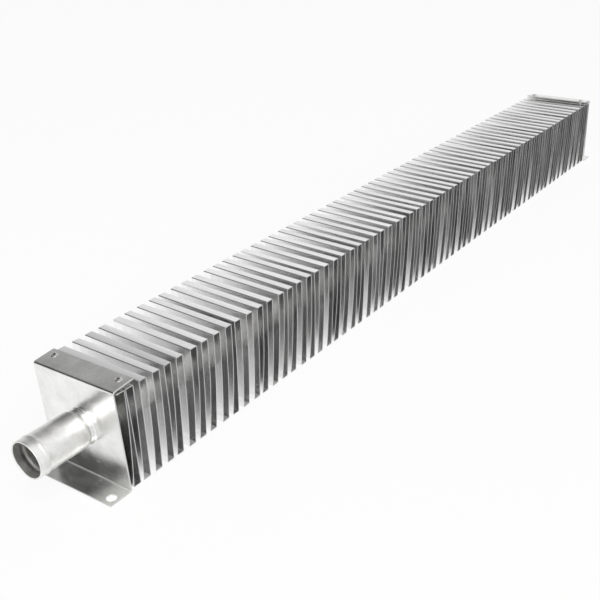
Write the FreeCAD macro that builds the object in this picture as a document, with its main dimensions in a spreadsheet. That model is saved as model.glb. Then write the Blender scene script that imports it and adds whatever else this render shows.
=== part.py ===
import FreeCAD, Part
import math
import os
import re

import Sketcher

# Finned-tube convector element: a water tube with a hose spigot at each end, a pack of folded fin
# strips pressed on the tube, and a bent sheet bracket riveted to the pack at each end.
# Millimetres. X runs along the tube from the inlet to the outlet and Z is up. The origin lies on the
# floor, under the middle of the tube.

SIZES = [
    ("plate_span", 720.0, "end plate to end plate, over their outer faces"),
    ("axis_height", 35.8, "tube axis above the floor"),
    ("bracket_width", 68.0, "end bracket across the element"),
    ("bracket_height", 70.0, "end plate from the floor to its top bend"),
    ("sheet_thick", 1.0, "bracket sheet"),
    ("bend_radius", 1.0, "inside of the bracket's bends"),
    ("flange_margin", 5.1, "top flange, from its rivets to its free edge"),
    ("flange_rise", 1.4, "free edge of the flange above its bend"),
    ("foot_depth", 16.6, "foot, from the outer face of the plate"),
    ("foot_hole_dia", 6.5, "mounting hole in the foot"),
    ("foot_hole_inset", 5.0, "mounting hole from the side edge of the foot"),
    ("foot_hole_edge", 5.6, "mounting hole from the free edge of the foot"),
    ("collar_reach", 3.0, "drawn collar of the end plate"),
    ("collar_wall", 0.8, "wall of that collar"),
    ("collar_root", 0.6, "fillet where the collar leaves the plate"),
    ("spigot_dia", 25.0, "outside of the hose spigot"),
    ("spigot_reach", 41.0, "spigot from the outer face of the plate to its mouth"),
    ("neck_step", 1.5, "step in radius from the spigot to the tube in the fins"),
    ("tube_wall", 1.0, "wall of the tube"),
    ("tube_fit", 0.05, "gap in radius between the tube and the holes it passes"),
    ("shoulder_gap", 0.3, "from the plate's collar to the spigot's shoulder"),
    ("shoulder_run", 2.0, "length of the rounded shoulder"),
    ("bead_height", 0.5, "hose bead above the spigot"),
    ("bead_run", 3.5, "width of the hose bead"),
    ("bead_setback", 6.5, "middle of the hose bead from the mouth"),
    ("fin_overhang", 1.4, "fin strip past the bracket, on each side"),
    ("fin_thick", 0.5, "fin strip's sheet"),
    ("fin_bend", 0.2, "inside of the strip's bends"),
    ("fin_floor_gap", 3.0, "floor to the bottom flats"),
    ("fin_flange_gap", 0.4, "top flats to the bracket's flange at its bend"),
    ("fin_plate_gap", 0.3, "end of the pack to the end plate"),
    ("flat_width", 6.2, "top or bottom flat, over its two legs"),
    ("fold_gap", 4.7, "between neighbouring flats, about"),
    ("squeeze_gap", 0.5, "between the two flats under each flange"),
    ("first_step", 0.1, "first bottom flat inwards of the first top flat"),
    ("fold_lean", 8.2, "how far the bottom flats lag behind the top ones, at most"),
    ("top_uneven", 0.4, "unevenness of the top gaps, as a share of the gap"),
    ("base_uneven", 0.4, "unevenness of the bottom gaps, as a share of the gap"),
    ("strip_count", 11, "fin strips in the pack"),
    ("strip_joint", 0.1, "end of one strip to the flat of the next"),
    ("fin_collar_reach", 0.9, "collar round the tube on each fin leg"),
    ("rivet_dia", 2.4, "rivet's shank"),
    ("rivet_fit", 0.1, "gap in radius round the shank"),
    ("rivet_head_lip", 1.1, "rivet's head over its shank, in radius"),
    ("rivet_head_rise", 1.0, "height of the rivet's dome"),
    ("rivet_tail_lip", 0.4, "set end over the shank, in radius"),
    ("rivet_tail_rise", 0.8, "height of the set end"),
    ("rivet_inset", 6.5, "rivet from the side edge of the flange"),
]

# Sizes that several pieces share, as formulas of the ones above.
HALF_SPAN = "plate_span / 2"
TUBE_R = "(spigot_dia / 2 - neck_step)"
HOLE_R = f"({TUBE_R} + tube_fit)"
FIN_TOP = "(bracket_height - sheet_thick - fin_flange_gap)"
RIVET_SETBACK = "(sheet_thick + fin_plate_gap + 1.5 * flat_width + squeeze_gap)"
RIVET_ASIDE = "(bracket_width / 2 - rivet_inset)"
FOOT_HOLE_ASIDE = "(bracket_width / 2 - foot_hole_inset)"
FLANGE_DEPTH = f"({RIVET_SETBACK} + flange_margin)"
FLANGE_SLOPE = f"(flange_rise / {FLANGE_DEPTH})"

# Two places closer than this are one place.
NEAR = 0.01
# The bowed stretches at the foot and the head of a fin leg are twice these shares of its height.
FOOT_SHARE, HEAD_SHARE = 0.05, 0.32
# From the inlet to the outlet, the lean of the fins follows this stretch of a half wave.
LEAN_START, LEAN_END = 0.2, 0.75
# At the outermost folds the lean starts with this share of that.
LEAN_EASE = 0.75

doc = FreeCAD.newDocument("convector")
sheet = doc.addObject("Spreadsheet::Sheet", "sheet")
for row, (name, value, meaning) in enumerate(SIZES, start=1):
    sheet.set(f"A{row}", meaning)
    sheet.set(f"B{row}", str(value))
    sheet.setAlias(f"B{row}", name)
doc.recompute()


def bound(formula):
    """The formula with each size written as a cell of the sheet."""
    return re.sub(r"[a-z]+(_[a-z]+)+", lambda size_name: "sheet." + size_name.group(), formula)


def size(formula):
    """The formula's value now."""
    return float(sheet.evalExpression(bound(formula)))


def bind(item, formulas):
    """Drive properties of an object by formulas."""
    for path, formula in formulas.items():
        item.setExpression(path, bound(formula))


def new_sketch(body, role):
    """An empty sketch on one of the body's own origin planes."""
    sketch = body.newObject("Sketcher::SketchObject", "Sketch")
    plane = next(item for item in body.Origin.OriginFeatures if item.Role == role)
    sketch.AttachmentSupport = (plane, [""])
    sketch.MapMode = "FlatFace"
    return sketch


def pin(sketch, curve, end, across, up):
    """Hold one point of a sketch at two formulas, measured from the sketch's origin."""
    for kind, formula, axis in (("DistanceX", across, -2), ("DistanceY", up, -1)):
        if formula == "0":
            sketch.addConstraint(Sketcher.Constraint("PointOnObject", curve, end, axis))
            continue
        place = size(formula)
        points = (-1, 1, curve, end) if place > 0 else (curve, end, -1, 1)
        number = sketch.addConstraint(Sketcher.Constraint(kind, *points, abs(place)))
        bind(sketch, {f"Constraints[{number}]": formula if place > 0 else f"-({formula})"})


def set_radius(sketch, curve, formula):
    """Hold the radius of a circle or an arc at a formula."""
    number = sketch.addConstraint(Sketcher.Constraint("Radius", curve, size(formula)))
    bind(sketch, {f"Constraints[{number}]": formula})


def draw_circle(sketch, across, up, radius):
    """A circle held at its centre and radius."""
    centre = FreeCAD.Vector(size(across), size(up), 0)
    curve = sketch.addGeometry(Part.Circle(centre, FreeCAD.Vector(0, 0, 1), size(radius)), False)
    pin(sketch, curve, 3, across, up)
    set_radius(sketch, curve, radius)


def draw_outline(sketch, corners, arcs=None):
    """A closed outline through corners, each a pair of formulas.

    arcs maps the number of a side to its radius formula and to the hand that its centre lies on: 1 for
    left of the way from this corner to the next, -1 for right. The other sides are straight.
    """
    arcs = arcs or {}
    points = [FreeCAD.Vector(size(across), size(up), 0) for across, up in corners]
    ends = []
    for side, start in enumerate(points):
        finish = points[(side + 1) % len(points)]
        if side not in arcs:
            curve = sketch.addGeometry(Part.LineSegment(start, finish), False)
            ends.append((curve, 1, 2))
            continue
        radius, hand = arcs[side]
        chord = finish - start
        left = FreeCAD.Vector(-chord.y, chord.x, 0).normalize()
        rise = math.sqrt(size(radius) ** 2 - chord.Length ** 2 / 4)
        centre = (start + finish) * 0.5 + left * (hand * rise)
        first, last = (start, finish) if hand > 0 else (finish, start)
        begin = math.atan2(first.y - centre.y, first.x - centre.x)
        stop = math.atan2(last.y - centre.y, last.x - centre.x)
        if stop < begin:
            stop += 2 * math.pi
        circle = Part.Circle(centre, FreeCAD.Vector(0, 0, 1), size(radius))
        curve = sketch.addGeometry(Part.ArcOfCircle(circle, begin, stop), False)
        ends.append((curve, 1, 2) if hand > 0 else (curve, 2, 1))
    for side, (curve, start, finish) in enumerate(ends):
        following, following_start, _ = ends[(side + 1) % len(ends)]
        sketch.addConstraint(Sketcher.Constraint("Coincident", curve, finish, following, following_start))
        pin(sketch, curve, start, *corners[side])
        if side in arcs:
            set_radius(sketch, curve, arcs[side][0])


def cut_through(body, sketch):
    """Cut a sketch through the whole body, both ways."""
    pocket = body.newObject("PartDesign::Pocket", "Holes")
    pocket.Profile = sketch
    pocket.Type = "ThroughAll"
    pocket.SideType = "Symmetric"


def round_edges(body, radius, chosen):
    """Round those edges of the body's last feature that the test chosen accepts."""
    doc.recompute()
    base = body.Tip
    names = [f"Edge{number}" for number, edge in enumerate(base.Shape.Edges, start=1) if chosen(edge)]
    fillet = body.newObject("PartDesign::Fillet", "Round")
    fillet.Base = (base, names)
    bind(fillet, {"Radius": radius})


# Core tube, one length. Each end is swelled into a hose spigot after the brackets are on, so its
# shoulder keeps the bracket in place, and a bead near the mouth holds the hose.

def make_tube():
    body = doc.addObject("PartDesign::Body", "core_tube")
    neck = f"{HALF_SPAN} + collar_reach + shoulder_gap"
    shoulder = f"{neck} + shoulder_run"
    shoulder_middle = f"{neck} + shoulder_run / 2"
    bead_end = f"{HALF_SPAN} + spigot_reach - bead_setback + bead_run / 2"
    bead_start = f"{HALF_SPAN} + spigot_reach - bead_setback - bead_run / 2"
    mouth = f"{HALF_SPAN} + spigot_reach"
    outside = [("0", TUBE_R), (neck, TUBE_R), (shoulder_middle, f"{TUBE_R} + neck_step / 2"),
               (shoulder, "spigot_dia / 2"), (bead_start, "spigot_dia / 2"), (bead_end, "spigot_dia / 2"),
               (mouth, "spigot_dia / 2")]
    inside = [(across, f"{up} - tube_wall") for across, up in reversed(outside)]
    bend = "(shoulder_run ^ 2 + neck_step ^ 2) / (4 * neck_step)"
    bead = "(bead_height ^ 2 + (bead_run / 2) ^ 2) / (2 * bead_height)"
    arcs = {1: (bend, 1), 2: (bend, -1), 4: (bead, -1), 8: (bead, 1), 10: (bend, 1), 11: (bend, -1)}
    sketch = new_sketch(body, "XZ_Plane")
    draw_outline(sketch, outside + inside, arcs)
    half = body.newObject("PartDesign::Revolution", "Half")
    half.Profile = sketch
    half.ReferenceAxis = (sketch, ["H_Axis"])
    half.Angle = 360
    doc.recompute()
    whole = body.newObject("PartDesign::Mirrored", "Whole")
    whole.Originals = [half]
    middle = next(item for item in body.Origin.OriginFeatures if item.Role == "YZ_Plane")
    whole.MirrorPlane = (middle, [""])
    body.Tip = whole
    bind(body, {"Placement.Base.z": "axis_height"})
    return body


# End bracket, bent from one sheet: a foot turned outwards, the end plate and a flange turned inwards
# over the fins. The tube's hole is drawn out into a collar. In the bracket's own frame the outer face
# of the plate is at x = 0 and the foot lies on the side of -x.

def make_bracket(name):
    body = doc.addObject("PartDesign::Body", name)
    corners = [("-foot_depth", "0"), ("sheet_thick", "0"),
               ("sheet_thick", f"bracket_height - sheet_thick + {FLANGE_SLOPE} * sheet_thick"),
               (FLANGE_DEPTH, "bracket_height - sheet_thick + flange_rise"),
               (FLANGE_DEPTH, "bracket_height + flange_rise"), ("0", "bracket_height"),
               ("0", "sheet_thick"), ("-foot_depth", "sheet_thick")]
    profile = new_sketch(body, "XZ_Plane")
    draw_outline(profile, corners)
    sheet_pad = body.newObject("PartDesign::Pad", "Sheet")
    sheet_pad.Profile = profile
    sheet_pad.SideType = "Symmetric"
    bind(sheet_pad, {"Length": "bracket_width"})

    def at_corners(numbers):
        places = [(size(corners[number][0]), size(corners[number][1])) for number in numbers]
        return lambda edge: any(math.hypot(edge.CenterOfMass.x - x, edge.CenterOfMass.z - z) < NEAR
                                for x, z in places)

    round_edges(body, "bend_radius", at_corners((2, 6)))
    round_edges(body, "bend_radius + sheet_thick", at_corners((1, 5)))

    collar = new_sketch(body, "YZ_Plane")
    draw_circle(collar, "0", "axis_height", f"{HOLE_R} + collar_wall")
    drawn = body.newObject("PartDesign::Pad", "Collar")
    drawn.Profile = collar
    drawn.Reversed = True
    bind(drawn, {"Length": "collar_reach"})
    collar_r = size(f"{HOLE_R} + collar_wall")
    round_edges(body, "collar_root", lambda edge: abs(edge.CenterOfMass.x) < NEAR
                and isinstance(edge.Curve, Part.Circle) and abs(edge.Curve.Radius - collar_r) < NEAR)

    bore = new_sketch(body, "YZ_Plane")
    draw_circle(bore, "0", "axis_height", HOLE_R)
    cut_through(body, bore)

    holes = new_sketch(body, "XY_Plane")
    for across, aside, radius in (("foot_hole_edge - foot_depth", FOOT_HOLE_ASIDE, "foot_hole_dia / 2"),
                                  (RIVET_SETBACK, RIVET_ASIDE, "rivet_dia / 2 + rivet_fit")):
        for hand in ("", "-"):
            draw_circle(holes, across, f"{hand}{aside}", radius)
    cut_through(body, holes)
    return body


# Rivets, two through each flange and the top flat below it. Each stands square to the rising flange,
# with a dome above it and its set end under the flat.

def make_rivets(name):
    slant = f"{FLANGE_SLOPE} * (rivet_dia / 2 + rivet_tail_lip)"
    grip = f"(sheet_thick + fin_flange_gap + fin_thick + {FLANGE_SLOPE} * {RIVET_SETBACK} + {slant})"
    pair = []
    for hand in ("", "-"):
        head = doc.addObject("Part::Ellipsoid", "Head")
        head.Angle1 = 0
        bind(head, {"Radius1": "rivet_head_rise", "Radius2": "rivet_dia / 2 + rivet_head_lip",
                    "Radius3": "rivet_dia / 2 + rivet_head_lip"})
        shank = doc.addObject("Part::Cylinder", "Shank")
        bind(shank, {"Radius": "rivet_dia / 2", "Height": f"{grip} + rivet_tail_rise",
                     "Placement.Base.z": f"-({grip} + rivet_tail_rise)"})
        tail = doc.addObject("Part::Cylinder", "Tail")
        bind(tail, {"Radius": "rivet_dia / 2 + rivet_tail_lip", "Height": "rivet_tail_rise",
                    "Placement.Base.z": f"-({grip} + rivet_tail_rise)"})
        rivet = doc.addObject("Part::MultiFuse", "Rivet")
        rivet.Shapes = [head, shank, tail]
        rivet.Placement = FreeCAD.Placement(FreeCAD.Vector(), FreeCAD.Rotation(FreeCAD.Vector(0, -1, 0), 1))
        bind(rivet, {"Placement.Rotation.Angle": f"atan({FLANGE_SLOPE})",
                     "Placement.Base.x": RIVET_SETBACK, "Placement.Base.y": f"{hand}{RIVET_ASIDE}",
                     "Placement.Base.z": f"bracket_height + {FLANGE_SLOPE} * {RIVET_SETBACK}"})
        pair.append(rivet)
    group = doc.addObject("Part::Compound", name)
    group.Links = pair
    return group


# Fin pack. Aluminium strip folded like a concertina: flats at the top and the bottom, joined by legs that
# the tube pierces. The folds were spread by hand, so the gaps are uneven and the legs are bowed.

def fold_centres():
    """Middles along X of the top flats and of the bottom flats between them."""
    flat = size("flat_width")
    first = -size(HALF_SPAN) + size("sheet_thick + fin_plate_gap") + flat / 2
    second = first + flat + size("squeeze_gap")
    spread = max(2, round(-2 * second / size("flat_width + fold_gap")))
    pitch = -2 * second / spread
    even_tops = [first] + [second + pitch * step for step in range(spread + 1)] + [-first]
    last = len(even_tops) - 1
    gap = pitch - flat

    def settle(number, count):
        """Nothing at the two outermost flats of each end, and full unevenness three folds further in."""
        return max(0, min(1, (number - 1) / 3, (count - 1 - number) / 3))

    def wave(number, phase):
        """A wave with no visible period. Two neighbours on it are less than 1 apart."""
        return 0.4 * math.sin(2.3 * number + phase) + 0.27 * math.sin(0.9 * number + 3 * phase)

    tops = []
    for number, middle in enumerate(even_tops):
        tops.append(middle + size("top_uneven") * gap * settle(number, last) * wave(number, 0.4))
    bottoms = [first + size("first_step")]
    for number in range(1, last):
        middle = (even_tops[number] + even_tops[number + 1]) / 2
        stage = LEAN_START + (LEAN_END - LEAN_START) * number / last
        ease = LEAN_EASE + (1 - LEAN_EASE) * settle(number, last - 1)
        lag = size("fold_lean") * ease * math.sin(math.pi * stage)
        uneven = size("base_uneven") * gap * settle(number, last - 1) * wave(number, 1.7)
        bottoms.append(middle - lag + uneven)
    return tops, bottoms


def leg_edges(foot, top):
    """The bowed line of a leg from its foot up: upright at both ends, with most of its lean near the foot."""
    if abs(top.x - foot.x) < NEAR:
        return [Part.LineSegment(foot, top).toShape()]
    upright = FreeCAD.Vector(0, 0, 1)
    foot_bow, head_bow = FOOT_SHARE * (top.z - foot.z), HEAD_SHARE * (top.z - foot.z)
    low, high = foot + upright * foot_bow, top - upright * head_bow
    slant = (high - low).normalize()
    inward = (slant - upright).normalize() * math.tan(slant.getAngle(upright) / 4)
    low_end, high_end = low + slant * foot_bow, high - slant * head_bow
    return [Part.Arc(foot, low + inward * foot_bow, low_end).toShape(),
            Part.LineSegment(low_end, high_end).toShape(),
            Part.Arc(high_end, high - inward * head_bow, top).toShape()]


def strip_outline(flats, leg_end):
    """A strip's section, seen along Y.

    flats holds, in order, whether each flat is at the top, and its two ends over the legs. A strip
    begins with a top flat. It ends with one too, or with a leg that rises to the place leg_end.
    """
    thick = size("fin_thick")
    turn = size("fin_bend") + thick
    top, base = size(FIN_TOP), size("fin_floor_gap")

    def face(over):
        """Edges of the face that is outside at the top flats, or of the other one, and its two ends."""
        edges = []
        for number, (at_top, left, right) in enumerate(flats):
            radius = turn if at_top == over else turn - thick
            hand = 1 if at_top else -1
            centre_z = top - turn if at_top else base + turn
            level = centre_z + hand * radius
            slack = radius * math.sqrt(0.5)
            if number == 0:
                flat_start = begin = FreeCAD.Vector(left, 0, level)
            else:
                leg_stop = FreeCAD.Vector(left + turn - radius, 0, centre_z)
                flat_start = FreeCAD.Vector(left + turn, 0, level)
                corner = FreeCAD.Vector(left + turn - slack, 0, centre_z + hand * slack)
                edges += leg_edges(*sorted((leg_start, leg_stop), key=lambda point: point.z))
                edges.append(Part.Arc(leg_stop, corner, flat_start).toShape())
            if number == len(flats) - 1 and at_top:
                end = FreeCAD.Vector(right, 0, level)
                return edges + [Part.LineSegment(flat_start, end).toShape()], begin, end
            flat_stop = FreeCAD.Vector(right - turn, 0, level)
            corner = FreeCAD.Vector(right - turn + slack, 0, centre_z + hand * slack)
            leg_start = FreeCAD.Vector(right - turn + radius, 0, centre_z)
            edges.append(Part.LineSegment(flat_start, flat_stop).toShape())
            edges.append(Part.Arc(flat_stop, corner, leg_start).toShape())
        leg_stop = FreeCAD.Vector(leg_end if over else leg_end + thick, 0, top - turn)
        end = FreeCAD.Vector(leg_stop.x, 0, top - thick - size("strip_joint"))
        edges += leg_edges(leg_start, leg_stop)
        return edges + [Part.LineSegment(leg_stop, end).toShape()], begin, end

    over_edges, over_begin, over_end = face(True)
    under_edges, under_begin, under_end = face(False)
    begin_cut = Part.LineSegment(over_begin, under_begin).toShape()
    end_cut = Part.LineSegment(over_end, under_end).toShape()
    return Part.Face(Part.Wire(Part.__sortEdges__(over_edges + under_edges + [begin_cut, end_cut])))


def collar_bands(legs):
    """Bowed bands beside a strip's legs, seen along Y, from which the collars round the tube are cut.

    Each leg is given by the middle of its sheet at the bottom and at the top.
    """
    base = size("fin_floor_gap + fin_bend + fin_thick")
    top = size(f"{FIN_TOP} - fin_bend - fin_thick")
    width = FreeCAD.Vector(size("fin_thick / 2 + fin_collar_reach"), 0, 0)
    left, right = -size(HALF_SPAN), size(HALF_SPAN)
    low, high = [size(f"axis_height {sign} ({HOLE_R} + 2 * fin_thick)") for sign in "-+"]
    window = [FreeCAD.Vector(along, 0, up)
              for along, up in ((left, low), (right, low), (right, high), (left, high))]
    by_the_tube = Part.Face(Part.makePolygon(window + window[:1]))
    bands = []
    for at_base, at_top in legs:
        line = leg_edges(FreeCAD.Vector(at_base, 0, base), FreeCAD.Vector(at_top, 0, top))
        beside = [edge.translated(width) for edge in line]
        ends = [Part.LineSegment(FreeCAD.Vector(along, 0, up), FreeCAD.Vector(along + width.x, 0, up)).toShape()
                for along, up in ((at_base, base), (at_top, top))]
        band = Part.Face(Part.Wire(Part.__sortEdges__(line + beside + ends)))
        bands.extend(band.common(by_the_tube).Faces)
    return Part.makeCompound(bands)


def extrude_across(section, width):
    """A section in the XZ plane, extruded evenly to both sides of it."""
    profile = doc.addObject("Part::Feature", "Section")
    profile.Shape = section
    solid = doc.addObject("Part::Extrusion", "Extruded")
    solid.Base = profile
    solid.DirMode = "Custom"
    solid.Dir = FreeCAD.Vector(0, 1, 0)
    solid.Symmetric = True
    solid.Solid = True
    bind(solid, {"LengthFwd": width})
    return solid


def combine(kind, base, tool):
    """A boolean of two objects."""
    result = doc.addObject(kind, "Combined")
    result.Base = base
    result.Tool = tool
    return result


def round_bar(radius):
    """A bar along the tube's axis, as long as the pack."""
    bar = doc.addObject("Part::Cylinder", "Bar")
    bar.Placement.Rotation = FreeCAD.Rotation(FreeCAD.Vector(0, 1, 0), 90)
    bind(bar, {"Radius": radius, "Height": "plate_span", "Placement.Base.x": f"-{HALF_SPAN}",
               "Placement.Base.z": "axis_height"})
    return bar


def rivet_drills(side):
    """Drills for the two rivets through the top flat under a flange."""
    drills = []
    for hand in ("", "-"):
        drill = doc.addObject("Part::Cylinder", "Drill")
        bind(drill, {"Radius": "rivet_dia / 2 + rivet_fit", "Height": "fin_bend + fin_thick",
                     "Placement.Base.x": f"{side}({HALF_SPAN} - {RIVET_SETBACK})",
                     "Placement.Base.y": f"{hand}{RIVET_ASIDE}",
                     "Placement.Base.z": f"{FIN_TOP} - fin_bend / 2 - fin_thick"})
        drills.append(drill)
    pair = doc.addObject("Part::Compound", "Drills")
    pair.Links = drills
    return pair


def make_strips():
    tops, bottoms = fold_centres()
    half = size("flat_width") / 2
    inset = half - size("fin_thick") / 2
    count = int(size("strip_count"))
    bore = round_bar(HOLE_R)
    collar_bar = round_bar(f"{HOLE_R} + fin_thick")
    strips = []
    for number in range(count):
        begin = number * len(bottoms) // count
        end = (number + 1) * len(bottoms) // count
        flats = []
        legs = []
        for fold in range(begin, end):
            flats.append((True, tops[fold] - half, tops[fold] + half))
            flats.append((False, bottoms[fold] - half, bottoms[fold] + half))
            legs.append((bottoms[fold] - inset, tops[fold] + inset))
            legs.append((bottoms[fold] + inset, tops[fold + 1] - inset))
        if number == count - 1:
            flats.append((True, tops[end] - half, tops[end] + half))
        folded = extrude_across(strip_outline(flats, tops[end] - half), "bracket_width + 2 * fin_overhang")
        bands = extrude_across(collar_bands(legs), f"2 * {HOLE_R} + 4 * fin_thick")
        collars = combine("Part::Common", bands, collar_bar)
        strip = combine("Part::Cut", combine("Part::Fuse", folded, collars), bore)
        if number == 0:
            strip = combine("Part::Cut", strip, rivet_drills("-"))
        if number == count - 1:
            strip = combine("Part::Cut", strip, rivet_drills(""))
        strip.Label = f"fin_strip_{number + 1:02d}"
        strips.append(strip)
    return strips


nodes = [make_tube()]
for end_name, side, half_turn in (("inlet", "-", 0), ("outlet", "", 180)):
    for piece in (make_bracket(f"{end_name}_end_bracket"), make_rivets(f"{end_name}_flange_rivets")):
        piece.Placement.Rotation = FreeCAD.Rotation(FreeCAD.Vector(0, 0, 1), half_turn)
        bind(piece, {"Placement.Base.x": f"{side}{HALF_SPAN}"})
        nodes.append(piece)
nodes.extend(make_strips())
doc.recompute()

for item in doc.Objects:
    if "Invalid" in item.State or "Error" in item.State:
        raise RuntimeError(f"{item.Label} did not recompute")
for node in nodes:
    solids = 2 if node.Label.endswith("rivets") else 1
    if node.Shape.isNull() or not node.Shape.isValid() or len(node.Shape.Solids) != solids:
        raise RuntimeError(f"{node.Label} is not the {solids} sound solid(s) that it should be")

os.makedirs("parts", exist_ok=True)
for node in nodes:
    node.Shape.exportStep(f"parts/{node.Label}.step")
    box = node.Shape.BoundBox
    print(f"{node.Label}: {box.XLength:.1f} x {box.YLength:.1f} x {box.ZLength:.1f} mm, "
          f"{node.Shape.Volume / 1000:.2f} cm3")
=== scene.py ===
import math

import bmesh
import bpy
from mathutils import Matrix, Vector, noise


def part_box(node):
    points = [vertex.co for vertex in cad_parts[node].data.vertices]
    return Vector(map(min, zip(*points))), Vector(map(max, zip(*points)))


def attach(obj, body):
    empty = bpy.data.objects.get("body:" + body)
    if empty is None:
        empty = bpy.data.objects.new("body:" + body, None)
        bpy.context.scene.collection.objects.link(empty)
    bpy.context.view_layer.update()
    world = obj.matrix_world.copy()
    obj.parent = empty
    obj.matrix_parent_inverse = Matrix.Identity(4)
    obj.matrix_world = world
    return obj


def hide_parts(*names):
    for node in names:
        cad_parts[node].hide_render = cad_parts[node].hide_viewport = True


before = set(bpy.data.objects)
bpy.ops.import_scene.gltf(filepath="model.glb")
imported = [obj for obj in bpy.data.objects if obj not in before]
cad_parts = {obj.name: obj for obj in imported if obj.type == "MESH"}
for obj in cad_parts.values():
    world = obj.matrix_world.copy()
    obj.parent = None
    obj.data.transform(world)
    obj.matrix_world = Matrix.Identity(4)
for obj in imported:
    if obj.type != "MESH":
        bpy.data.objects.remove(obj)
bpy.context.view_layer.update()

# Core tube. One length of drawn aluminium tube that carries the hot water. Each end is swelled into a hose
# spigot after the brackets are on, so its shoulder holds the bracket, and a rolled bead keeps the hose on.

MM = 0.001
tube_low, tube_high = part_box("core_tube")
AXIS_HEIGHT = (tube_low.z + tube_high.z) / 2
MOUTH = tube_high.x
SPIGOT_REACH = 41 * MM
PLATE_FACE = MOUTH - SPIGOT_REACH
SPIGOT_RADIUS = 12.5 * MM
BEAD_RADIUS = 13.0 * MM
BEAD_SETBACK = 6.5 * MM
BEAD_RUN = 3.5 * MM
SHOULDER_RUN = 2.0 * MM
SHOULDER_GAP = 3.3 * MM
SHOULDER_ROUND = 0.8 * MM
BEAD_ROUND = 0.7 * MM
MOUTH_ROUND = 0.25 * MM
TUBE_RADIUS = 11.0 * MM
TUBE_WALL = 1.0 * MM
TUBE_SIDES = 96
CLOSE = 0.001 * MM


def rings_at(bm, *places):
    """Edges that run round the tube's axis at the given places along it."""
    rings = []
    for edge in bm.edges:
        radii = [math.hypot(vert.co.y, vert.co.z - AXIS_HEIGHT) for vert in edge.verts]
        if abs(radii[0] - radii[1]) < CLOSE and any(
                all(abs(vert.co.x - place) < CLOSE for vert in edge.verts) for place in places):
            rings.append(edge)
    return rings


def turn_profile(points, sides):
    """A bmesh turned round the tube's axis from points given by their place along X and their radius."""
    bm = bmesh.new()
    verts = [bm.verts.new((along, 0, AXIS_HEIGHT + radius)) for along, radius in points]
    edges = [bm.edges.new(pair) for pair in zip(verts, verts[1:])]
    bmesh.ops.spin(bm, geom=verts + edges, cent=(0, 0, AXIS_HEIGHT), axis=(1, 0, 0), angle=2 * math.pi,
                   steps=sides, use_merge=True)
    return bm


def finish_piece(bm, name, materials):
    """Make a bmesh a piece of the element, shown in the given materials."""
    bmesh.ops.recalc_face_normals(bm, faces=bm.faces)
    mesh = bpy.data.meshes.new(name)
    bm.to_mesh(mesh)
    bm.free()
    for material in materials:
        mesh.materials.append(material)
    piece = bpy.data.objects.new(name, mesh)
    bpy.context.scene.collection.objects.link(piece)
    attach(piece, "root")
    return piece


def shade_smooth(piece, angle):
    """Smooth shading, with edges sharper than the angle in degrees left crisp and large faces left flat."""
    piece.data.shade_smooth()
    piece.data.set_sharp_from_angle(angle=math.radians(angle))
    weighted = piece.modifiers.new("weighted", "WEIGHTED_NORMAL")
    weighted.keep_sharp = True


def linear(colour):
    """An sRGB hex colour as linear red, green, blue and alpha."""
    channels = [int(colour[start:start + 2], 16) / 255 for start in (1, 3, 5)]
    return [c / 12.92 if c <= 0.04045 else ((c + 0.055) / 1.055) ** 2.4 for c in channels] + [1]


def add_node(tree, kind, sockets=None, links=None, **settings):
    """Add a shader node with its settings, the values of its sockets and the outputs linked to them."""
    node = tree.nodes.new("ShaderNode" + kind)
    for name, value in settings.items():
        setattr(node, name, value)
    for name, value in (sockets or {}).items():
        node.inputs[name].default_value = value
    for name, output in (links or {}).items():
        tree.links.new(output, node.inputs[name])
    return node


def new_material(name):
    """An empty node material, and its tree."""
    material = bpy.data.materials.new(name)
    material.use_nodes = True
    material.node_tree.nodes.clear()
    return material, material.node_tree


# Drawn aluminium, left as the die leaves it: a soft gloss with faint lines along the tube, and cloudy
# patches where it was handled.
drawn_aluminium, tree = new_material("drawn_aluminium")
place = add_node(tree, "TexCoord")
DRAW_LINE = (60 * MM, 0.5 * MM, 0.5 * MM)
line_place = add_node(tree, "Mapping", {"Scale": [1 / run for run in DRAW_LINE]},
                      {"Vector": place.outputs["Object"]})
lines = add_node(tree, "TexNoise", {"Scale": 1, "Detail": 3}, {"Vector": line_place.outputs["Vector"]})
PATCH = 9 * MM
patches = add_node(tree, "TexNoise", {"Scale": 1 / PATCH, "Detail": 4, "Roughness": 0.6},
                   {"Vector": place.outputs["Object"]})
tone = add_node(tree, "ValToRGB", None, {"Fac": patches.outputs["Fac"]})
tone.color_ramp.elements[0].color = linear("#D3D2CF")
tone.color_ramp.elements[0].position = 0.3
tone.color_ramp.elements[1].color = linear("#F6F6F4")
tone.color_ramp.elements[1].position = 0.7
both = add_node(tree, "Math", None, {0: lines.outputs["Fac"], 1: patches.outputs["Fac"]}, operation="ADD")
gloss = add_node(tree, "MapRange", {"From Min": 0.6, "From Max": 1.4, "To Min": 0.32, "To Max": 0.46},
                 {"Value": both.outputs["Value"]})
relief = add_node(tree, "Bump", {"Strength": 0.03, "Distance": 0.02 * MM}, {"Height": lines.outputs["Fac"]})
metal = add_node(tree, "BsdfPrincipled", {"Metallic": 1},
                 {"Base Color": tone.outputs["Color"], "Roughness": gloss.outputs["Result"],
                  "Normal": relief.outputs["Normal"]})
add_node(tree, "OutputMaterial", None, {"Surface": metal.outputs["BSDF"]})

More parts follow.
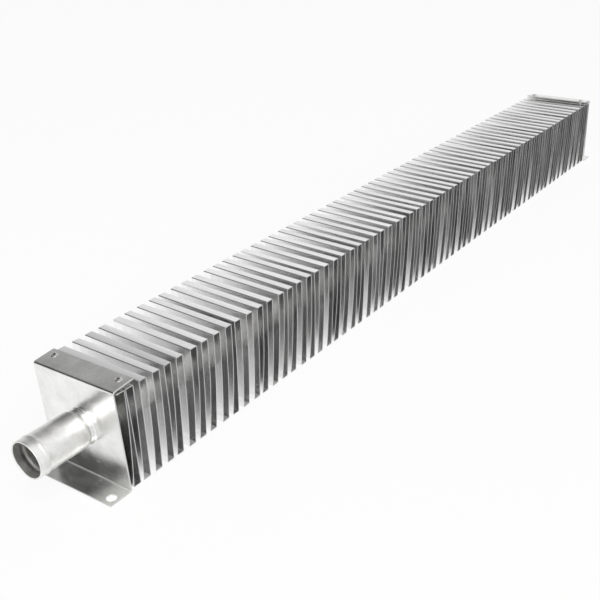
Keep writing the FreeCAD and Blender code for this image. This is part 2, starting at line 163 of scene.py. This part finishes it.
neck = PLATE_FACE + SHOULDER_GAP
shoulder = neck + SHOULDER_RUN
bead = MOUTH - BEAD_SETBACK
bead_foot = bead - BEAD_RUN / 2
bead_end = bead + BEAD_RUN / 2
outside = [(0, TUBE_RADIUS), (neck, TUBE_RADIUS), (shoulder, SPIGOT_RADIUS), (bead_foot, SPIGOT_RADIUS),
           (bead, BEAD_RADIUS), (bead_end, SPIGOT_RADIUS), (MOUTH, SPIGOT_RADIUS)]
inside = [(along, radius - TUBE_WALL) for along, radius in reversed(outside)]
bm = turn_profile(outside + inside, TUBE_SIDES)
for places, round_off, steps in (((neck, shoulder), SHOULDER_ROUND, 5),
                                 ((bead_foot, bead, bead_end), BEAD_ROUND, 4), ((MOUTH,), MOUTH_ROUND, 3)):
    bmesh.ops.bevel(bm, geom=rings_at(bm, *places), offset=round_off, segments=steps, profile=0.5,
                    affect="EDGES", material=-1)
bmesh.ops.mirror(bm, geom=bm.verts[:] + bm.edges[:] + bm.faces[:], axis="X", merge_dist=CLOSE)
tube = finish_piece(bm, "tube", [drawn_aluminium])
shade_smooth(tube, angle=50)
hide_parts("core_tube")

# Fin strips. Soft aluminium sheet of half a millimetre, folded like a concertina and pierced by the tube.
# The folds were spread by hand on the tube, so the gaps are uneven, the legs bowed and the flats askew.

fin_names = sorted(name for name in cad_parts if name.startswith("fin_strip"))
pack_low = Vector([min(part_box(name)[0][axis] for name in fin_names) for axis in range(3)])
pack_high = Vector([max(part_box(name)[1][axis] for name in fin_names) for axis in range(3)])
SHEET = 0.5 * MM
FLAT = 6.2 * MM
FOLD_GAP = 4.7 * MM
SQUEEZE_GAP = 0.5 * MM
FIRST_STEP = 0.1 * MM
FOLD_LEAN = 8.2 * MM
LEAN_START, LEAN_END, LEAN_EASE = 0.2, 0.75, 0.75
TOP_UNEVEN, BASE_UNEVEN = 0.4, 0.4
TOP_PHASE, BASE_PHASE = 0.4, 1.7
HEAD_LEAN = 0.4
FIN_BEND = 0.45 * MM
STRIP_JOINT = 0.1 * MM
BORE_RADIUS = 11.05 * MM
COLLAR_REACH = 0.9 * MM
LEG_STEPS = 10
CROSS_STEPS = 8
DRILL_SIDES = 64
COLLAR_SIDES = 40
SKEW = 1.8 * MM
EDGE_CLEARANCE = 0.03 * MM
LEG_BOW = 0.2 * MM
RIPPLE = 0.2 * MM
UNLEVEL = 0.35 * MM
HELD_LENGTH = 40 * MM
RIPPLE_ALONG, RIPPLE_ACROSS = 11 * MM, 30 * MM
UNLEVEL_ACROSS = 70 * MM


def fold_centres():
    """Middles along X of the top flats and of the bottom flats between them."""
    first = pack_low.x + FLAT / 2
    second = first + FLAT + SQUEEZE_GAP
    spread = round(-2 * second / (FLAT + FOLD_GAP))
    pitch = -2 * second / spread
    even = [first] + [second + pitch * step for step in range(spread + 1)] + [-first]
    last = len(even) - 1
    gap = pitch - FLAT

    def settle(number, count):
        """Nothing at the two outermost flats of each end, and full unevenness three folds further in."""
        return max(0, min(1, (number - 1) / 3, (count - 1 - number) / 3))

    def wave(number, phase):
        """A wave with no visible period. Two neighbours on it are less than 1 apart."""
        return 0.4 * math.sin(2.3 * number + phase) + 0.27 * math.sin(0.9 * number + 3 * phase)

    tops = [middle + TOP_UNEVEN * gap * settle(number, last) * wave(number, TOP_PHASE)
            for number, middle in enumerate(even)]
    bottoms = [first + FIRST_STEP]
    for number in range(1, last):
        middle = (even[number] + even[number + 1]) / 2
        ease = LEAN_EASE + (1 - LEAN_EASE) * settle(number, last - 1)
        stage = LEAN_START + (LEAN_END - LEAN_START) * number / last
        lag = FOLD_LEAN * ease * math.sin(math.pi * stage)
        uneven = BASE_UNEVEN * gap * settle(number, last - 1) * wave(number, BASE_PHASE)
        bottoms.append(middle - lag + uneven)
    return tops, bottoms


def leg_point(foot, head, number, height):
    """The point of a leg at a height. The leg leans little at its head and most near its foot."""
    fall = (head[1] - height) / (head[1] - foot[1])
    bow = LEG_BOW * math.sin(1.9 * number) * math.sin(math.pi * fall)
    return head[0] + (foot[0] - head[0]) * fall * (HEAD_LEAN + (1 - HEAD_LEAN) * fall) + bow, height


def askew(point):
    """Where a point of the even pack lies after the folds were pushed about by hand."""
    towards_end = (pack_high.x - abs(point.x)) / HELD_LENGTH
    free = max(0, min(1, towards_end - 0.3))
    along = point.x / RIPPLE_ALONG
    height = (point.z - pack_low.z) / (pack_high.z - pack_low.z)
    ripple = noise.noise(Vector((along, point.y / RIPPLE_ACROSS, 3 * height))) * 4 * height * (1 - height)
    level = noise.noise(Vector((1.7 * along, point.y / UNLEVEL_ACROSS, 7.5)))
    return point + Vector((free * (SKEW * point.y / pack_high.y + RIPPLE * ripple), 0,
                           -UNLEVEL * (0.5 + 0.5 * level) * (2 * height - 1) ** 3))


def fold_strip(tops, bottoms, next_top, first_leg):
    """The sheet of one strip, and the places where its legs cross the tube's axis.

    A strip begins with a top flat. It ends with a flat too where next_top is None, and otherwise with a
    leg that rises to the start of the next strip's first flat.
    """
    reach = (FLAT - SHEET) / 2
    crown, base = pack_high.z - SHEET / 2, pack_low.z + SHEET / 2
    corners = []
    for number, top in enumerate(tops):
        corners += [(top - reach, crown), (top + reach, crown)]
        if number < len(bottoms):
            corners += [(bottoms[number] - reach, base), (bottoms[number] + reach, base)]
    if next_top is not None:
        corners.append((next_top - reach, crown - SHEET - STRIP_JOINT))
    bm = bmesh.new()
    near_side, far_side = pack_low.y + EDGE_CLEARANCE, pack_high.y - EDGE_CLEARANCE
    crossings = []
    bends = []
    line = [bm.verts.new((corners[0][0], near_side, corners[0][1]))]
    for start, end in zip(corners, corners[1:]):
        if abs(start[1] - end[1]) > FLAT:
            foot, head = sorted((start, end), key=lambda corner: corner[1])
            leg = first_leg + len(crossings)
            crossings.append(leg_point(foot, head, leg, AXIS_HEIGHT)[0])
            for step in range(1, LEG_STEPS):
                along, up = leg_point(foot, head, leg, start[1] + (end[1] - start[1]) * step / LEG_STEPS)
                line.append(bm.verts.new((along, near_side, up)))
        line.append(bm.verts.new((end[0], near_side, end[1])))
        bends.append(line[-1])
    edges = [bm.edges.new(pair) for pair in zip(line, line[1:])]
    swept = bmesh.ops.extrude_edge_only(bm, edges=edges)["geom"]
    far_line = [item for item in swept if isinstance(item, bmesh.types.BMVert)]
    bmesh.ops.translate(bm, verts=far_line, vec=(0, far_side - near_side, 0))
    across = [edge for edge in bm.edges if abs(edge.verts[0].co.y - edge.verts[1].co.y) > FLAT]
    folded = [edge for edge in across if any(vert in bends[:-1] for vert in edge.verts)]
    bmesh.ops.bevel(bm, geom=folded, offset=FIN_BEND, segments=3, profile=0.5, affect="EDGES", material=-1)
    across = [edge for edge in bm.edges if abs(edge.verts[0].co.y - edge.verts[1].co.y) > FLAT]
    bmesh.ops.subdivide_edges(bm, edges=across, cuts=CROSS_STEPS - 1, use_grid_fill=True)
    for vert in bm.verts:
        vert.co = askew(vert.co)
    return bm, crossings


def drill(piece, holes):
    """Cut round holes through a piece. Each hole is a middle, a direction, a radius and a length."""
    bm = bmesh.new()
    # Half a side of turn keeps the corners of the drill off the mesh lines in the middle of the sheet.
    half_side = Matrix.Rotation(math.pi / DRILL_SIDES, 4, "Z")
    for middle, direction, radius, length in holes:
        turn = Vector(direction).to_track_quat("Z", "Y").to_matrix().to_4x4()
        bmesh.ops.create_cone(bm, cap_ends=True, segments=DRILL_SIDES, radius1=radius, radius2=radius,
                              depth=length, matrix=Matrix.Translation(middle) @ turn @ half_side)
    mesh = bpy.data.meshes.new("drills")
    bm.to_mesh(mesh)
    bm.free()
    drills = bpy.data.objects.new("drills", mesh)
    bpy.context.scene.collection.objects.link(drills)
    cut = piece.modifiers.new("holes", "BOOLEAN")
    cut.object = drills
    cut.solver = "EXACT"
    shaped = piece.evaluated_get(bpy.context.evaluated_depsgraph_get())
    plain = piece.data
    piece.data = bpy.data.meshes.new_from_object(shaped)
    piece.modifiers.clear()
    bpy.data.meshes.remove(plain)
    bpy.data.objects.remove(drills)
    bpy.data.meshes.remove(mesh)


def add_collars(piece, crossings):
    """Press a collar out of each leg along the tube."""
    bm = bmesh.new()
    bm.from_mesh(piece.data)
    for along in crossings:
        middle = Matrix.Translation((along + COLLAR_REACH / 2, 0, AXIS_HEIGHT))
        ring = bmesh.ops.create_cone(bm, cap_ends=False, segments=COLLAR_SIDES, radius1=BORE_RADIUS,
                                     radius2=BORE_RADIUS, depth=COLLAR_REACH,
                                     matrix=middle @ Matrix.Rotation(math.pi / 2, 4, "Y"))
        for vert in ring["verts"]:
            vert.co = askew(vert.co)
        faces = list({face for vert in ring["verts"] for face in vert.link_faces})
        bmesh.ops.recalc_face_normals(bm, faces=faces)
        bmesh.ops.solidify(bm, geom=faces, thickness=-SHEET)
    bmesh.ops.recalc_face_normals(bm, faces=bm.faces)
    bm.to_mesh(piece.data)
    bm.free()


# Mill-finish aluminium sheet, as the rolling mill leaves it: pale and softly glossy, with rolling lines
# that run along the strip, so down its legs, and a tone that changes a little from fold to fold.
mill_sheet, tree = new_material("mill_finish_fin_sheet")
place = add_node(tree, "TexCoord")
ROLL_LINE = (14 * MM, 0.9 * MM, 45 * MM)
line_place = add_node(tree, "Mapping", {"Scale": [1 / run for run in ROLL_LINE]},
                      {"Vector": place.outputs["Object"]})
lines = add_node(tree, "TexNoise", {"Scale": 1, "Detail": 2}, {"Vector": line_place.outputs["Vector"]})
FOLD_TONE = (9 * MM, 90 * MM, 60 * MM)
fold_place = add_node(tree, "Mapping", {"Scale": [1 / run for run in FOLD_TONE]},
                      {"Vector": place.outputs["Object"]})
folds = add_node(tree, "TexNoise", {"Scale": 1, "Detail": 1}, {"Vector": fold_place.outputs["Vector"]})
tone = add_node(tree, "ValToRGB", None, {"Fac": folds.outputs["Fac"]})
tone.color_ramp.elements[0].color = linear("#F0F0F0")
tone.color_ramp.elements[0].position = 0.3
tone.color_ramp.elements[1].color = linear("#FEFEFE")
tone.color_ramp.elements[1].position = 0.7
gloss = add_node(tree, "MapRange", {"From Min": 0.3, "From Max": 0.7, "To Min": 0.10, "To Max": 0.20},
                 {"Value": lines.outputs["Fac"]})
relief = add_node(tree, "Bump", {"Strength": 0.08, "Distance": 0.03 * MM}, {"Height": lines.outputs["Fac"]})
metal = add_node(tree, "BsdfPrincipled", {"Metallic": 1},
                 {"Base Color": tone.outputs["Color"], "Roughness": gloss.outputs["Result"],
                  "Normal": relief.outputs["Normal"]})
add_node(tree, "OutputMaterial", None, {"Surface": metal.outputs["BSDF"]})

# Sheared aluminium: the bright cut edge of the sheet, with fine marks across its thickness.
sheared_edge, tree = new_material("sheared_aluminium_edge")
place = add_node(tree, "TexCoord")
SHEAR_MARK = 0.4 * MM
marks = add_node(tree, "TexNoise", {"Scale": 1 / SHEAR_MARK, "Detail": 2},
                 {"Vector": place.outputs["Object"]})
tone = add_node(tree, "ValToRGB", None, {"Fac": marks.outputs["Fac"]})
tone.color_ramp.elements[0].color = linear("#C2C2C2")
tone.color_ramp.elements[1].color = linear("#DEDEDE")
gloss = add_node(tree, "MapRange", {"To Min": 0.3, "To Max": 0.5}, {"Value": marks.outputs["Fac"]})
metal = add_node(tree, "BsdfPrincipled", {"Metallic": 1},
                 {"Base Color": tone.outputs["Color"], "Roughness": gloss.outputs["Result"]})
add_node(tree, "OutputMaterial", None, {"Surface": metal.outputs["BSDF"]})

all_tops, all_bottoms = fold_centres()
tube_bore = ((0, 0, AXIS_HEIGHT), (1, 0, 0), BORE_RADIUS, 2 * MOUTH)
for number, node_name in enumerate(fin_names):
    begin = number * len(all_bottoms) // len(fin_names)
    end = (number + 1) * len(all_bottoms) // len(fin_names)
    is_last = node_name == fin_names[-1]
    strip_tops = all_tops[begin:end + 1] if is_last else all_tops[begin:end]
    next_top = None if is_last else all_tops[end]
    bm, crossings = fold_strip(strip_tops, all_bottoms[begin:end], next_top, first_leg=2 * begin)
    fins = finish_piece(bm, f"fins_{number + 1:02d}", [mill_sheet, sheared_edge])
    thicken = fins.modifiers.new("sheet", "SOLIDIFY")
    thicken.thickness = SHEET
    thicken.offset = 0
    thicken.use_even_offset = True
    thicken.material_offset_rim = 1
    drill(fins, [tube_bore])
    add_collars(fins, crossings)
    shade_smooth(fins, angle=35)
    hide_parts(node_name)

# End brackets. Aluminium sheet of a millimetre, cut and bent: a foot with two screw holes turned outwards,
# the end plate, and a flange turned over the fins. The tube's hole is drawn out into a short collar.

BRACKET_SHEET = 1.0 * MM
BRACKET_BEND = 1.5 * MM
FLANGE_RISE = 1.4 * MM
COLLAR_LENGTH = 3.0 * MM
COLLAR_WALL = 0.8 * MM
COLLAR_ROOT = 0.6 * MM
COLLAR_EDGE_ROUND = 0.2 * MM
COLLAR_ROOT_ROUND = 0.4 * MM
FOOT_HOLE_RADIUS = 3.25 * MM
FOOT_HOLE_INSET = 5.0 * MM
FOOT_HOLE_EDGE = 5.6 * MM
RIVET_SETBACK = 11.1 * MM
RIVET_INSET = 6.5 * MM
RIVET_HOLE_RADIUS = 1.3 * MM
CUT_EDGE_ROUND = 0.12 * MM

bracket_low, bracket_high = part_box("inlet_end_bracket")
HALF_WIDTH = bracket_high.y


def bend_bracket():
    """The bent sheet of the inlet's bracket, without its holes."""
    half = BRACKET_SHEET / 2
    plate = -PLATE_FACE + half
    slope = FLANGE_RISE / (bracket_high.x + PLATE_FACE)
    tip = bracket_high.z - half
    corners = [(bracket_low.x, half), (plate, half), (plate, tip - slope * (bracket_high.x - plate)),
               (bracket_high.x, tip)]
    bm = bmesh.new()
    line = [bm.verts.new((along, -HALF_WIDTH, up)) for along, up in corners]
    edges = [bm.edges.new(pair) for pair in zip(line, line[1:])]
    swept = bmesh.ops.extrude_edge_only(bm, edges=edges)["geom"]
    far_side = [item for item in swept if isinstance(item, bmesh.types.BMVert)]
    bmesh.ops.translate(bm, verts=far_side, vec=(0, 2 * HALF_WIDTH, 0))
    bends = [edge for edge in bm.edges if abs(edge.verts[0].co.y - edge.verts[1].co.y) > HALF_WIDTH
             and any(vert in line[1:3] for vert in edge.verts)]
    bmesh.ops.bevel(bm, geom=bends, offset=BRACKET_BEND, segments=6, profile=0.5, affect="EDGES",
                    material=-1)
    return bm


def draw_collar(piece):
    """Draw the collar out of the plate, round the tube."""
    face = -PLATE_FACE
    outer = BORE_RADIUS + COLLAR_WALL
    inside_sheet = (face + BRACKET_SHEET / 2, BORE_RADIUS)
    bm = turn_profile([inside_sheet, (face - COLLAR_LENGTH, BORE_RADIUS), (face - COLLAR_LENGTH, outer),
                       (face - COLLAR_ROOT, outer), (face, outer + COLLAR_ROOT),
                       (face + BRACKET_SHEET / 2, outer + COLLAR_ROOT), inside_sheet], TUBE_SIDES)
    bmesh.ops.remove_doubles(bm, verts=bm.verts, dist=CLOSE)
    for ring, round_off, steps in ((face - COLLAR_LENGTH, COLLAR_EDGE_ROUND, 2),
                                   (face - COLLAR_ROOT, COLLAR_ROOT_ROUND, 4)):
        bmesh.ops.bevel(bm, geom=rings_at(bm, ring), offset=round_off, segments=steps, profile=0.5,
                        affect="EDGES", material=-1)
    bmesh.ops.recalc_face_normals(bm, faces=bm.faces)
    bm.from_mesh(piece.data)
    bm.to_mesh(piece.data)
    bm.free()


# Mill-finish sheet of the brackets: bright, with fine rolling lines across it and cloudy patches that
# storage left duller.
bracket_sheet, tree = new_material("mill_finish_bracket_sheet")
place = add_node(tree, "TexCoord")
ROLL_LINE = (0.45 * MM, 40 * MM, 0.45 * MM)
line_place = add_node(tree, "Mapping", {"Scale": [1 / run for run in ROLL_LINE]},
                      {"Vector": place.outputs["Object"]})
lines = add_node(tree, "TexNoise", {"Scale": 1, "Detail": 4}, {"Vector": line_place.outputs["Vector"]})
CLOUD = 14 * MM
clouds = add_node(tree, "TexNoise", {"Scale": 1 / CLOUD, "Detail": 5, "Roughness": 0.62},
                  {"Vector": place.outputs["Object"]})
tone = add_node(tree, "ValToRGB", None, {"Fac": clouds.outputs["Fac"]})
tone.color_ramp.elements[0].color = linear("#E5E5E3")
tone.color_ramp.elements[0].position = 0.3
tone.color_ramp.elements[1].color = linear("#F8F8F7")
tone.color_ramp.elements[1].position = 0.65
both = add_node(tree, "Math", None, {0: lines.outputs["Fac"], 1: clouds.outputs["Fac"]}, operation="ADD")
gloss = add_node(tree, "MapRange", {"From Min": 0.6, "From Max": 1.4, "To Min": 0.18, "To Max": 0.30},
                 {"Value": both.outputs["Value"]})
relief = add_node(tree, "Bump", {"Strength": 0.2, "Distance": 0.02 * MM}, {"Height": lines.outputs["Fac"]})
metal = add_node(tree, "BsdfPrincipled", {"Metallic": 1},
                 {"Base Color": tone.outputs["Color"], "Roughness": gloss.outputs["Result"],
                  "Normal": relief.outputs["Normal"]})
add_node(tree, "OutputMaterial", None, {"Surface": metal.outputs["BSDF"]})

for end_name in ("inlet", "outlet"):
    bracket = finish_piece(bend_bracket(), f"{end_name}_bracket", [bracket_sheet, sheared_edge])
    thicken = bracket.modifiers.new("sheet", "SOLIDIFY")
    thicken.thickness = BRACKET_SHEET
    thicken.offset = 0
    thicken.use_even_offset = True
    thicken.material_offset_rim = 1
    holes = [tube_bore]
    for side in (-1, 1):
        foot_hole = (bracket_low.x + FOOT_HOLE_EDGE, side * (HALF_WIDTH - FOOT_HOLE_INSET), 0)
        rivet_hole = (-PLATE_FACE + RIVET_SETBACK, side * (HALF_WIDTH - RIVET_INSET), bracket_high.z)
        holes += [(foot_hole, (0, 0, 1), FOOT_HOLE_RADIUS, 4 * BRACKET_SHEET),
                  (rivet_hole, (0, 0, 1), RIVET_HOLE_RADIUS, 6 * BRACKET_SHEET)]
    drill(bracket, holes)
    draw_collar(bracket)
    if end_name == "outlet":
        bracket.data.transform(Matrix.Rotation(math.pi, 4, "Z"))
    rounded = bracket.modifiers.new("cut edges", "BEVEL")
    rounded.width = CUT_EDGE_ROUND
    rounded.segments = 2
    rounded.limit_method = "ANGLE"
    rounded.angle_limit = math.radians(60)
    shade_smooth(bracket, angle=40)
    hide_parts(f"{end_name}_end_bracket")

# Rivets. Two small aluminium blind rivets pull each flange down on the second top flat. The dome of each
# keeps the open hole that its drawn mandrel left.

RIVET_HEAD_RADIUS = 2.3 * MM
RIVET_RISE = 1.0 * MM
MANDREL_RADIUS = 0.9 * MM
MANDREL_DEPTH = 2.0 * MM
SHANK_RADIUS = 1.2 * MM
TAIL_RADIUS = 1.6 * MM
TAIL_RISE = 0.8 * MM
GRIP = 3.1 * MM
RIVET_SIDES = 40

# Aluminium wire, headed cold and tumbled: a little darker and duller than the sheet, with fine dents.
headed_aluminium, tree = new_material("headed_aluminium")
place = add_node(tree, "TexCoord")
DENT = 0.6 * MM
dents = add_node(tree, "TexNoise", {"Scale": 1 / DENT, "Detail": 2}, {"Vector": place.outputs["Object"]})
tone = add_node(tree, "ValToRGB", None, {"Fac": dents.outputs["Fac"]})
tone.color_ramp.elements[0].color = linear("#B5B4B0")
tone.color_ramp.elements[1].color = linear("#D8D7D3")
gloss = add_node(tree, "MapRange", {"To Min": 0.2, "To Max": 0.4}, {"Value": dents.outputs["Fac"]})
relief = add_node(tree, "Bump", {"Strength": 0.3, "Distance": 0.03 * MM}, {"Height": dents.outputs["Fac"]})
metal = add_node(tree, "BsdfPrincipled", {"Metallic": 1},
                 {"Base Color": tone.outputs["Color"], "Roughness": gloss.outputs["Result"],
                  "Normal": relief.outputs["Normal"]})
add_node(tree, "OutputMaterial", None, {"Surface": metal.outputs["BSDF"]})


def turn_rivet():
    """A bmesh of one rivet on the Z axis, with the underside of its head at the origin."""
    profile = [(0, RIVET_RISE - MANDREL_DEPTH), (MANDREL_RADIUS, RIVET_RISE - MANDREL_DEPTH),
               (MANDREL_RADIUS, 0.93 * RIVET_RISE), (0.6 * RIVET_HEAD_RADIUS, 0.8 * RIVET_RISE),
               (RIVET_HEAD_RADIUS, 0.2 * RIVET_RISE), (RIVET_HEAD_RADIUS, 0), (SHANK_RADIUS, 0),
               (SHANK_RADIUS, -GRIP), (TAIL_RADIUS, -GRIP), (TAIL_RADIUS, -GRIP - TAIL_RISE),
               (0, -GRIP - TAIL_RISE)]
    bm = bmesh.new()
    verts = [bm.verts.new((radius, 0, up)) for radius, up in profile]
    edges = [bm.edges.new(pair) for pair in zip(verts, verts[1:])]
    bmesh.ops.spin(bm, geom=verts + edges, cent=(0, 0, 0), axis=(0, 0, 1), angle=2 * math.pi,
                   steps=RIVET_SIDES, use_merge=True)
    bmesh.ops.remove_doubles(bm, verts=bm.verts, dist=CLOSE)
    return bm


for end_name, half_turn in (("inlet", 0), ("outlet", math.pi)):
    slope = FLANGE_RISE / (bracket_high.x + PLATE_FACE)
    pair = bmesh.new()
    for side in (-1, 1):
        bm = turn_rivet()
        seat = (-PLATE_FACE + RIVET_SETBACK, side * (HALF_WIDTH - RIVET_INSET),
                bracket_high.z - FLANGE_RISE + slope * RIVET_SETBACK)
        stand = Matrix.Translation(seat) @ Matrix.Rotation(-math.atan(slope), 4, "Y")
        bmesh.ops.transform(bm, matrix=Matrix.Rotation(half_turn, 4, "Z") @ stand, verts=bm.verts)
        mesh = bpy.data.meshes.new("rivet")
        bm.to_mesh(mesh)
        bm.free()
        pair.from_mesh(mesh)
        bpy.data.meshes.remove(mesh)
    rivets = finish_piece(pair, f"{end_name}_rivets", [headed_aluminium])
    shade_smooth(rivets, angle=40)
    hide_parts(f"{end_name}_flange_rivets")

# Studio. A pale floor with no visible horizon, white walls and one large soft lamp beside the camera. Sheet
# metal shows the whole room, so the dim parts of it between the white screens are there too.

FLOOR_HALF = 4.0
FLOOR_GLOW = 0.88

# White paper, lit so evenly that little of the object's shadow is left on it.
floor_paper, tree = new_material("pale_floor_paper")
ray = add_node(tree, "LightPath")
mirrored = add_node(tree, "Math", None,
                    {0: ray.outputs["Is Glossy Ray"], 1: ray.outputs["Is Transmission Ray"]},
                    operation="MAXIMUM")
seen = add_node(tree, "Math", None, {0: ray.outputs["Is Camera Ray"], 1: mirrored.outputs["Value"]},
                operation="MAXIMUM")
share = add_node(tree, "Math", {1: FLOOR_GLOW}, {0: seen.outputs["Value"]}, operation="MULTIPLY")
paper = add_node(tree, "BsdfDiffuse", {"Color": linear("#F6F6F5")})
glow = add_node(tree, "Emission", {"Color": linear("#FFFFFF"), "Strength": 1})
blend = add_node(tree, "MixShader", None, {0: share.outputs["Value"], 1: paper.outputs["BSDF"],
                                           2: glow.outputs["Emission"]})
add_node(tree, "OutputMaterial", None, {"Surface": blend.outputs["Shader"]})
bm = bmesh.new()
bmesh.ops.create_grid(bm, x_segments=1, y_segments=1, size=FLOOR_HALF)
mesh = bpy.data.meshes.new("floor")
bm.to_mesh(mesh)
bm.free()
mesh.materials.append(floor_paper)
floor = bpy.data.objects.new("floor", mesh)
bpy.context.scene.collection.objects.link(floor)

world = bpy.data.worlds.new("studio")
bpy.context.scene.world = world
world.use_nodes = True
tree = world.node_tree
tree.nodes.clear()
place = add_node(tree, "TexCoord")
room = None
# Each dim part has the way to its middle, the cosines where it begins and is complete, and its tone.
for way, begins, complete, colour in (((-0.10, 0.55, 0.83), 0.66, 0.80, "#9A9A9A"),
                                      ((-0.53, 0.71, 0.46), 0.90, 0.985, "#161616"),
                                      ((0.75, 0.55, 0.36), 0.86, 0.95, "#EBEBEB")):
    towards = add_node(tree, "VectorMath", {1: way}, {0: place.outputs["Generated"]},
                       operation="DOT_PRODUCT")
    dim = add_node(tree, "ValToRGB", None, {"Fac": towards.outputs["Value"]})
    dim.color_ramp.elements[0].color = linear("#FFFFFF")
    dim.color_ramp.elements[0].position = begins
    dim.color_ramp.elements[1].color = linear(colour)
    dim.color_ramp.elements[1].position = complete
    if room is None:
        room = dim.outputs["Color"]
    else:
        both = add_node(tree, "VectorMath", None, {0: room, 1: dim.outputs["Color"]}, operation="MULTIPLY")
        room = both.outputs["Vector"]
sky = add_node(tree, "Background", {"Strength": 1}, {"Color": room})
add_node(tree, "OutputWorld", None, {"Surface": sky.outputs["Background"]})

LAMP_SIZE = 1.2
LAMP_WATTS = 7
LAMP_PLACE = Vector((-0.97, -0.59, 0.86))
lamp_data = bpy.data.lights.new("softbox", "AREA")
lamp_data.shape = "SQUARE"
lamp_data.size = LAMP_SIZE
lamp_data.energy = LAMP_WATTS
lamp = bpy.data.objects.new("softbox", lamp_data)
lamp.location = LAMP_PLACE
from_plate = LAMP_PLACE - Vector((-PLATE_FACE, 0, AXIS_HEIGHT))
lamp.rotation_euler = from_plate.to_track_quat("Z", "Y").to_euler()
bpy.context.scene.collection.objects.link(lamp)

# Camera. It stands where the photograph was taken, close to the inlet end, a little above it and to its
# side.

PHOTO_SIDE = 600
FOCAL_PIXELS = 902.4
PRINCIPAL = (341.6, 362.4)
SENSOR = 36.0
camera_place = Vector((-635.2, -388.2, 333.3)) * MM
azimuth, elevation, roll = (math.radians(angle) for angle in (-54.50, 30.14, -2.30))

back = Vector((math.sin(azimuth) * math.cos(elevation), -math.cos(azimuth) * math.cos(elevation),
               math.sin(elevation)))
level = Vector((math.cos(azimuth), math.sin(azimuth), 0))
upright = back.cross(level)
right = math.cos(roll) * level + math.sin(roll) * upright
up = math.cos(roll) * upright - math.sin(roll) * level
camera_data = bpy.data.cameras.new("camera")
camera_data.sensor_width = SENSOR
camera_data.lens = FOCAL_PIXELS / PHOTO_SIDE * SENSOR
camera_data.shift_x = 0.5 - PRINCIPAL[0] / PHOTO_SIDE
camera_data.shift_y = PRINCIPAL[1] / PHOTO_SIDE - 0.5
camera_data.clip_start = 10 * MM
camera = bpy.data.objects.new("camera", camera_data)
camera.matrix_world = Matrix.Translation(camera_place) @ Matrix((right, up, back)).transposed().to_4x4()
bpy.context.scene.collection.objects.link(camera)
bpy.context.scene.camera = camera
bpy.context.scene.view_settings.view_transform = "Standard"
# Light passes down the narrow channels between the fins in many reflections.
BOUNCES = 32
bpy.context.scene.cycles.max_bounces = BOUNCES
bpy.context.scene.cycles.glossy_bounces = BOUNCES
